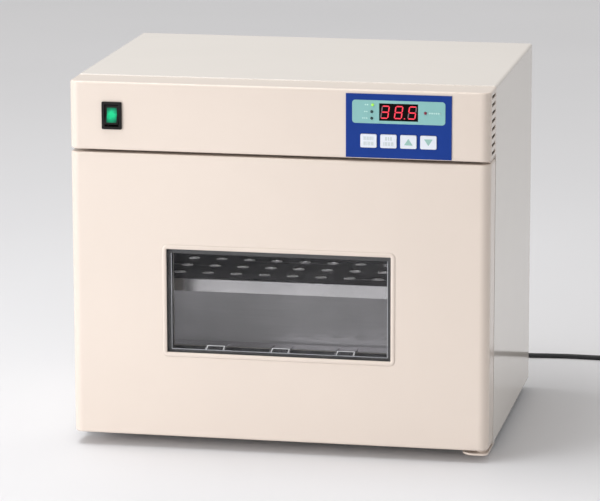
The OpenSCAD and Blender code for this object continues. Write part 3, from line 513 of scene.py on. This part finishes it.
SURFACES = {
    "cabinet_paint": finish_material("powder coat, body", BODY, 0.09, 0.012, 6, 500, 0.000008,
                                     edge=0.0010),
    "front_paint": finish_material("powder coat, front", FRONT, 0.17, 0.012, 6, 700, 0.00002,
                                   edge=0.0008),
    "galvanised": finish_material("zinc sheet", (0.50, 0.51, 0.52), 0.38, 0.22, 60, 500, 0.00003,
                                  metallic=1.0, edge=0.0004),
    "stainless": brushed("brushed stainless", (0.70, 0.69, 0.71), 0.13, (5, 240, 1100),
                         0.00001),
    # Painted shade on the shelf's upper face, painted highlight on its lip and hole walls
    "shelf_steel": painted_light_sheet("rolled steel, painted shade and highlight", (0.14, 0.135, 0.15), (0.95, 0.94, 0.92)),
    "glass_wool": finish_material("glass wool", (0.62, 0.50, 0.20), 0.95, 0.25, 90, 420, 0.0012,
                                  stretch=(1, 1, 3)),
    "heater_sheath": finish_material("heater sheath", (0.30, 0.27, 0.24), 0.42, 0.25, 45, 900,
                                     metallic=1.0),
    "black_plastic": finish_material("black moulding", (0.018, 0.018, 0.019), 0.36, 0.2, 40, 1500,
                                     0.00004, edge=0.0004),
    "white_plastic": finish_material("white nylon", (0.78, 0.78, 0.75), 0.45, 0.05, 40, 1100,
                                     edge=0.0003),
    "transformer_iron": finish_material("varnished laminations", (0.05, 0.06, 0.075), 0.4, 0.3,
                                        1, 1500, 0.00012, stretch=(30, 1800, 30), edge=0.0004),
    "relay_grey": finish_material("relay moulding", (0.12, 0.13, 0.14), 0.45, 0.12, 35, 1200,
                                  edge=0.0005),
    "foot_rubber": finish_material("foot rubber", (0.022, 0.022, 0.022), 0.75, 0.25, 60, 700,
                                   0.00012, edge=0.0005),
    "screw_steel": finish_material("nickel plate", (0.62, 0.61, 0.60), 0.24, 0.08, 120, 2500,
                                   0.00002, metallic=1.0, edge=0.0002),
    "cord_black": finish_material("cord sheath", (0.016, 0.017, 0.020), 0.46, 0.2, 50, 800,
                                  0.00008),
    "plug_black": finish_material("plug moulding", (0.017, 0.017, 0.019), 0.50, 0.2, 60, 1100,
                                  0.00010),
    "tie_grey": finish_material("woven strap", (0.07, 0.07, 0.075), 0.85, 0.45, 1, 1, 0.00025,
                                stretch=(900, 1100, 1100)),
    "pin_brass": finish_material("pin brass", (0.72, 0.52, 0.22), 0.22, 0.08, 90, 1800, 0.00002,
                                 metallic=1.0, edge=0.0004),
    "overlay_blue": finish_material("printed overlay", (0.008, 0.040, 0.245), 0.36, 0.06, 20, 1800,
                                    0.00004, edge=0.0003, specular=0.15),
    "strip_green": finish_material("printed strip", (0.25, 0.50, 0.485), 0.34, 0.05, 20, 1800,
                                   0.00003, edge=0.0002, specular=0.3),
    "lens_black": finish_material("display filter", (0.004, 0.003, 0.003), 0.10, 0.3, 30, 1500,
                                  0.00001, edge=0.0003, specular=0.06),
    "digit_red": finish_material("lit bars", (0.5, 0.02, 0.03), 0.4, 0.06, 400, 1500, 0.00001,
                                 emission=((1.0, 0.05, 0.10), 0.75)),
    "led_green": finish_material("lit lamp", (0.25, 0.6, 0.05), 0.25, 0.08, 500, 1500, 0.00001,
                                 emission=((0.42, 0.80, 0.16), 0.45)),
    "led_dark": finish_material("unlit lamp", (0.02, 0.05, 0.05), 0.22, 0.2, 500, 1500, 0.00001),
    "led_red": finish_material("red lamp", (0.16, 0.015, 0.04), 0.25, 0.15, 500, 1500, 0.00001,
                               emission=((0.5, 0.02, 0.06), 0.12)),
    "board_green": finish_material("solder mask", (0.015, 0.11, 0.045), 0.30, 0.35, 180, 600,
                                   0.00006),
    "rocker_green": lit_insert("lit rocker insert", "rocker_lens"),
    "key_white": finish_material("key cap", (0.73, 0.765, 0.83), 0.38, 0.03, 60, 1500, 0.00004,
                                 edge=0.0006),
    "frame_cream": finish_material("moulded window frame", (0.725, 0.63, 0.56), 0.36, 0.02, 15,
                                   900, 0.00005, edge=0.0006),
    "clear_pane": glass_pane("clear pane"),
    "reveal_grey": finish_material("window surround", (0.11, 0.11, 0.112), 0.38, 0.10, 25, 900,
                                   0.00005, edge=0.0004),
    "gasket_grey": finish_material("door seal", (0.26, 0.26, 0.255), 0.62, 0.12, 50, 800, 0.00008,
                                   edge=0.0006),
}

# Painted highlight for the bent edges of the window clips
CLIP_HIGHLIGHT = finish_material("painted clip highlight", (0.95, 0.95, 0.96), 0.35, 0.05, 150, 1500,
                             0.00002, metallic=0.1)
# Spacer bead painted bright as the highlight on the inner edge of the window's lip
BEAD_HIGHLIGHT = finish_material("spacer bead, painted highlight", (0.74, 0.76, 0.80), 0.35, 0.05, 150, 1500,
                             0.00002, metallic=0.15, edge=0.0003)
LINER_STEEL = finish_material("chamber lining", (0.84, 0.83, 0.85), 0.13, 0.04, 9, 700, 0.00001,
                              stretch=(1, 30, 30), metallic=0.6, edge=0.0004)
ROCKER_BLACK = finish_material("gloss rocker moulding", (0.010, 0.009, 0.009), 0.22, 0.2, 40,
                               1500, 0.00002, edge=0.0004, specular=0.22)
# Window clips with painted light: a greyer painted shade on faces that look up, a painted
# highlight on the others
CLIP_PAINTED_LIGHT = painted_light_sheet("clip strip, painted shade and highlight", (0.45, 0.45, 0.46), (0.95, 0.95, 0.96))

# Nodes that look a little different from the others in their slot
OWN_SURFACES = {"window_clips": CLIP_PAINTED_LIGHT, "chamber_liner": LINER_STEEL,
                "rocker_button": ROCKER_BLACK, "rocker_bezel": ROCKER_BLACK}

for row in frame["record"]["subparts"]:
    surface = OWN_SURFACES.get(row["node"], SURFACES[row["material_slot"]])
    for held in frame["nodes"][row["node"]].material_slots:
        held.material = surface

for piece in (cord, cord_boot):
    piece.data.materials.append(SURFACES["cord_black"])
mains_plug.data.materials.append(SURFACES["plug_black"])
cord_strap.data.materials.append(SURFACES["tie_grey"])

# ---------------------------------------------------------------- printed marks on the controls

MARK_T = 0.06 * MM                            # how far a printed mark stands out


def decal(name, outlines, face_y, surface, body):
    """Flat marks on a face that looks to the front: outlines of (x, z) points in metres."""
    verts, faces = [], []
    for outline in outlines:
        first = len(verts)
        count = len(outline)
        verts += [(x, face_y - MARK_T, z) for x, z in outline]
        verts += [(x, face_y + MARK_T, z) for x, z in outline]
        faces.append(tuple(range(first, first + count)))
        faces.append(tuple(range(first + 2 * count - 1, first + count - 1, -1)))
        faces += [(first + k, first + (k + 1) % count, first + count + (k + 1) % count,
                   first + count + k) for k in range(count)]
    made = mesh_object(name, verts, faces, smooth=False)
    made.data.materials.append(surface)
    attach(made, body)


def box_outline(left, right, bottom, top):
    return [(left, bottom), (right, bottom), (right, top), (left, top)]


def rounded_bar(x, z, w, h):
    """Outline of a bar with round ends, in millimetres about (x, z) in metres."""
    r, steps = h / 2, 8
    points = []
    for side in (1, -1):
        for k in range(steps + 1):
            a = math.radians(-90 + 180 * k / steps) + (0 if side > 0 else math.pi)
            points.append((x + (side * (w / 2 - r) + r * math.cos(a)) * MM,
                           z + r * math.sin(a) * MM))
    return points


def dashes(x, z, widths, h, gap=0.55):
    """Row of short bars, centred on (x, z)."""
    total = sum(widths) + gap * (len(widths) - 1)
    at = -total / 2
    row = []
    for w in widths:
        row.append(rounded_bar(x + (at + w / 2) * MM, z, w, h))
        at += w + gap
    return row


def arrow(x, z, w, h):
    """Triangle with blunted corners that points up, or down where h is below 0."""
    blunting = 0.8
    corners = [Vector((-w / 2, -h / 2)), Vector((w / 2, -h / 2)), Vector((0, h / 2))]
    if h < 0:
        corners.reverse()
    points = []
    for i, corner in enumerate(corners):
        before, after = corners[i - 1], corners[(i + 1) % 3]
        for t in (0.0, 0.25, 0.5, 0.75, 1.0):
            a = corner + (before - corner).normalized() * blunting
            b = corner + (after - corner).normalized() * blunting
            points.append((1 - t) ** 2 * a + 2 * t * (1 - t) * corner + t * t * b)
    return [(x + p.x * MM, z + p.y * MM) for p in points]


def spacer_bead_highlight():
    """Thin bead on the inner edge of the window's lip, behind the outer pane: a spacer between the
    panes, painted bright as a highlight of that edge.
    """
    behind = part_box("window_pane_outer")[1].y + 0.2 * MM
    low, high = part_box("window_reveal")
    left, right = low.x + 6.5 * MM, high.x - 6.5 * MM
    bottom, top = low.z + 5.0 * MM, high.z - 8.0 * MM
    wide = 0.7 * MM
    bars = ((left, right, bottom, bottom + wide), (left, left + wide, bottom + wide, top),
            (right - wide, right, bottom + wide, top))
    decal("spacer_bead_highlight", [box_outline(*bar) for bar in bars], behind, BEAD_HIGHLIGHT, "door")


def clip_edge_highlights():
    """Painted highlights: bright strips along the bent edges of the lower clips, in front of their
    feet.
    """
    low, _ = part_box("window_clips")
    front = low.y - 0.1 * MM
    lean, wide, bar = 2.2 * MM, 1.1 * MM, 0.7 * MM
    base = low.z + 0.8 * MM
    top = base + 6.2 * MM
    outlines = []
    for middle in (-72 * MM, 0.0, 72 * MM):
        left, right = middle - 10.6 * MM, middle + 8.0 * MM
        outlines += [[(x, base), (x + wide, base), (x + wide + lean, top), (x + lean, top)]
                     for x in (left, right)]
        outlines.append(box_outline(left + lean, right + lean + wide, top, top + bar))
    decal("clip_edge_highlights", outlines, front, CLIP_HIGHLIGHT, "door")


KEY_INK = finish_material("key print", (0.30, 0.50, 0.45), 0.4, 0.08, 400, 1500, 0.00001)
LEGEND_INK = finish_material("key legend", (0.42, 0.50, 0.48), 0.4, 0.08, 400, 1500, 0.00001)
STRIP_INK = finish_material("strip print", (0.46, 0.70, 0.66), 0.35, 0.05, 400, 1500, 0.00001)
UNLIT = finish_material("unlit bars", (0.20, 0.10, 0.12), 0.35, 0.2, 400, 1500, 0.00001)


def centre_of(node):
    low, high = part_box(node)
    return (low + high) / 2


def legend(x, z, groups):
    """Row of upright strokes in groups, where a word would be printed."""
    h, stroke, gap, group_gap = 4.1, 0.62, 1.25, 0.7
    offsets, at = [], 0.0
    for strokes in groups:
        for _ in range(strokes):
            offsets.append(at)
            at += gap
        at += group_gap
    middle = (offsets[0] + offsets[-1]) / 2
    upright = []
    for offset in offsets:
        bar = rounded_bar(0, 0, h, stroke)
        upright.append([(x + (offset - middle) * MM - v, z + u) for u, v in bar])
    return upright


def node_body(node):
    return next(body for body, nodes in frame["record"]["behaviour"]["bodies"].items()
                if node in nodes)


def mark_keys():
    """Strokes on the first two keys, and an arrow on each of the others."""
    rows = {"key_mode": ((2, 2, 2, 1), (2, 1, 2, 2)), "key_set": ((2, 1, 2), (1, 2, 2, 2))}
    for node, lines in rows.items():
        middle = centre_of(node)
        outlines = []
        for line, z in zip(lines, (2.8, -2.8)):
            outlines += legend(middle.x, middle.z + z * MM, line)
        decal(f"{node}_marks", outlines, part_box(node)[0].y, LEGEND_INK, node_body(node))
    for node, height in (("key_up", 7.2), ("key_down", -7.2)):
        middle = centre_of(node)
        decal(f"{node}_arrow", [arrow(middle.x, middle.z, 9.4, height)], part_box(node)[0].y,
              KEY_INK, node_body(node))


def mark_strip():
    """Short bars beside the lamps, where a legend would be."""
    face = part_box("display_strip")[0].y
    ready, alarm = centre_of("led_ready"), centre_of("led_alarm")
    low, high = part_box("led_standby")
    outlines = dashes(ready.x - 6.6 * MM, ready.z, (1.6, 1.8), 1.5)
    outlines += dashes(ready.x - 7.4 * MM, high.z - 1.4 * MM, (1.7, 1.5), 1.5)
    outlines += dashes(ready.x - 8.4 * MM, low.z + 1.4 * MM, (1.6, 1.4, 1.7), 1.5)
    outlines += dashes(alarm.x + 10.5 * MM, alarm.z, (2.0, 2.1, 1.8, 2.1, 1.9, 1.4), 1.9, 0.4)
    decal("strip_marks", outlines, face, STRIP_INK, "cabinet")


def unlit_segments():
    """Bars of the display that are dark at 38.5."""
    middle = centre_of("display_window")
    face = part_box("display_window")[0].y
    digit_h, digit_w, bar_w, pitch = 14.2, 8.7, 1.25, 14.6
    lean = math.tan(math.radians(8))
    high = (digit_h - bar_w) / 2
    wide = digit_w - bar_w
    half, tip = (high - 0.4) / 2, bar_w / 2
    shape = [(0, -half), (tip, -half + tip), (tip, half - tip), (0, half),
             (-tip, half - tip), (-tip, -half + tip)]
    spots = {"top_left": (-wide / 2, high / 2), "low_left": (-wide / 2, -high / 2),
             "top_right": (wide / 2, high / 2), "low_right": (wide / 2, -high / 2)}
    dark = {-1: ("top_left", "low_left"), 1: ("top_right", "low_left")}
    outlines = []
    for digit, names in dark.items():
        for x, z in (spots[name] for name in names):
            outlines.append([(middle.x + (digit * pitch + x + u + (z + v) * lean) * MM,
                              middle.z + (z + v) * MM) for u, v in shape])
    decal("unlit_bars", outlines, face, UNLIT, "cabinet")


mark_keys()
mark_strip()
unlit_segments()
spacer_bead_highlight()
clip_edge_highlights()

# ---------------------------------------------------------------- floor and light


def make_floor():
    """Pale level floor, wide enough for a camera on any side."""
    reach, cells = 14.0, 28
    step = 2 * reach / cells
    verts = [(-reach + i * step, -reach + j * step, 0.0)
             for j in range(cells + 1) for i in range(cells + 1)]
    row = cells + 1
    faces = [(j * row + i, j * row + i + 1, (j + 1) * row + i + 1, (j + 1) * row + i)
             for j in range(cells) for i in range(cells)]
    floor = mesh_object("studio_floor", verts, faces)
    mat, tree, bsdf = material("pale paper")
    at = coords(tree)
    cloud = noise(tree, at, 1.5, 2)
    tree.links.new(ramp(tree, cloud, [(0.3, (0.735, 0.735, 0.755)), (0.7, (0.755, 0.755, 0.775))]),
                   bsdf.inputs["Base Color"])
    tree.links.new(bump(tree, noise(tree, at, 300, 3), 0.15, 0.0002), bsdf.inputs["Normal"])
    bsdf.inputs["Roughness"].default_value = 0.75
    floor.data.materials.append(mat)


def area_light(name, at, aim, size, power, color=(1, 1, 1), unseen=False):
    """Rectangular light. One that is unseen shows neither itself nor its reflection."""
    data = bpy.data.lights.new(name, "AREA")
    data.shape = "RECTANGLE"
    data.size, data.size_y = size
    data.energy = power
    data.color = color
    lamp = link(bpy.data.objects.new(name, data))
    lamp.location = at
    lamp.rotation_euler = (Vector(aim) - Vector(at)).to_track_quat("-Z", "Y").to_euler()
    if unseen:
        lamp.visible_camera = False
        lamp.visible_glossy = False


def make_light():
    world = bpy.data.worlds.new("studio")
    bpy.context.scene.world = world
    world.use_nodes = True
    background = world.node_tree.nodes["Background"]
    background.inputs["Color"].default_value = (1.0, 0.985, 0.965, 1)
    background.inputs["Strength"].default_value = 0.60
    area_light("overhead", (-0.70, -0.2, 2.4), (0, 0.1, 0.2), (1.5, 1.1), 30)
    area_light("left_window", (-2.1, -1.9, 0.7), (0, 0, 0.12), (1.9, 1.2), 40, (0.96, 0.98, 1.0))
    area_light("far_floor", (-1.1, 3.6, 2.4), (-1.1, 3.7, 0), (4.0, 1.6), 10)
    area_light("reflector_card", (-0.45, -0.9, 0.05), (-0.05, -0.17, 0.12), (0.9, 0.35), 1.9,
               (1.0, 0.97, 0.95), unseen=True)

    # A faint light under the shelf, behind its lip, that shows the chamber's rear wall
    shelf_front, shelf_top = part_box("shelf")[0].y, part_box("shelf")[1].z
    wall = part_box("chamber_liner")[1].y
    area_light("chamber_fill", (0, shelf_front + 12 * MM, shelf_top - 20 * MM),
               (0, wall, shelf_top - 75 * MM), (0.30, 0.008), 0.42, unseen=True)


make_floor()
make_light()
bpy.context.scene.view_settings.view_transform = "Standard"

# ---------------------------------------------------------------- end

bpy.context.view_layer.update()
